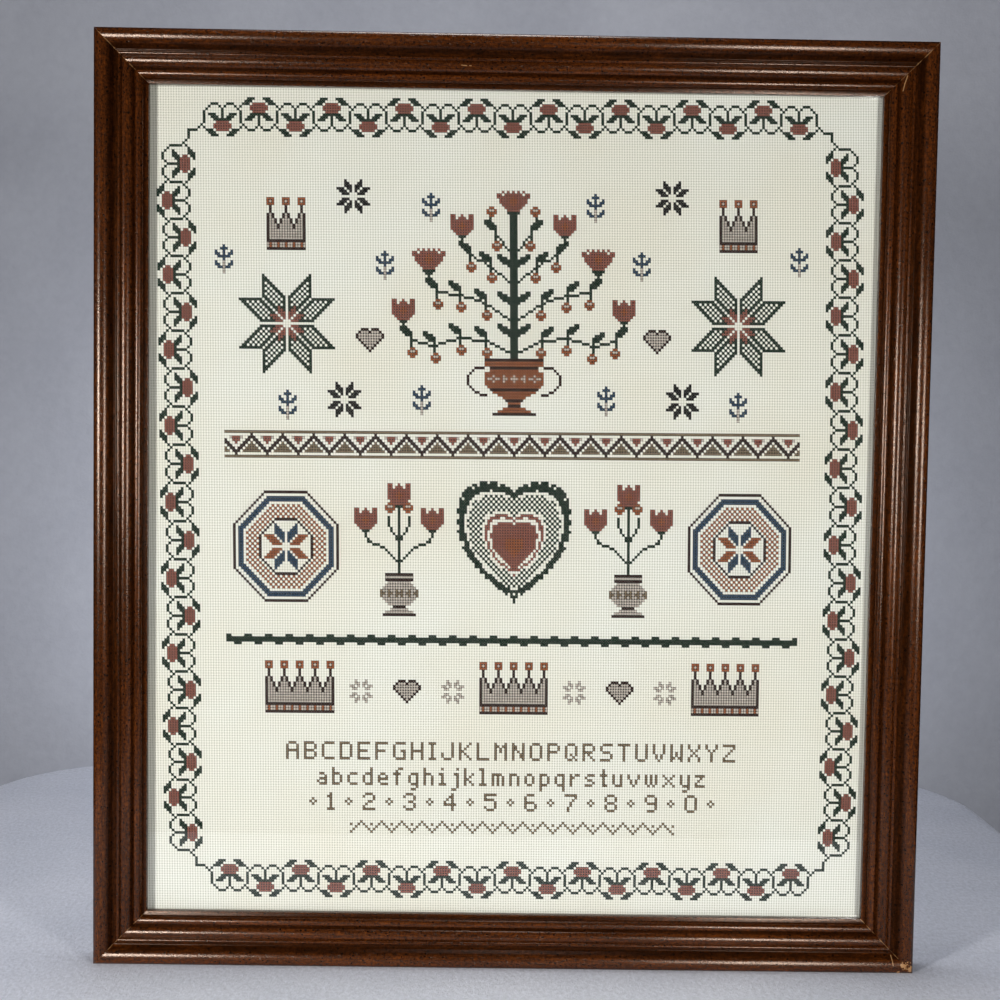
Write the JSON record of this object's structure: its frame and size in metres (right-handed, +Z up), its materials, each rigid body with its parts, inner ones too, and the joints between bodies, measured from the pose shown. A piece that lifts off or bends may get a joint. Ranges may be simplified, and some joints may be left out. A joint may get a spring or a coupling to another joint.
{
  "type": "framed cross stitch sampler",
  "caption": "Upright glazed wooden picture frame with mitred moulded rails around a stretched, cross stitched cloth on a backing board.",
  "frame": {"origin": "centre of the footprint on the surface the frame stands on, under the middle of the bottom rail and halfway through the frame's depth", "axes": "+Z up, -Y the way the stitched face looks, +X to the right as seen from the front"},
  "size_m": [0.569, 0.027, 0.639],
  "materials": {
    "stained_wood": "satin, brown stain with fine dark specks",
    "clear_glass": "clear, polished",
    "evenweave_cloth": "cream block weave with stranded cotton cross stitches",
    "hardboard": "matt brown board"
  },
  "bodies": {
    "root": {"rail_top": "stained_wood", "rail_bottom": "stained_wood", "rail_left": "stained_wood", "rail_right": "stained_wood", "glass": "clear_glass", "cloth": "evenweave_cloth", "backing_board": "hardboard"}
  },
  "joints": []
}
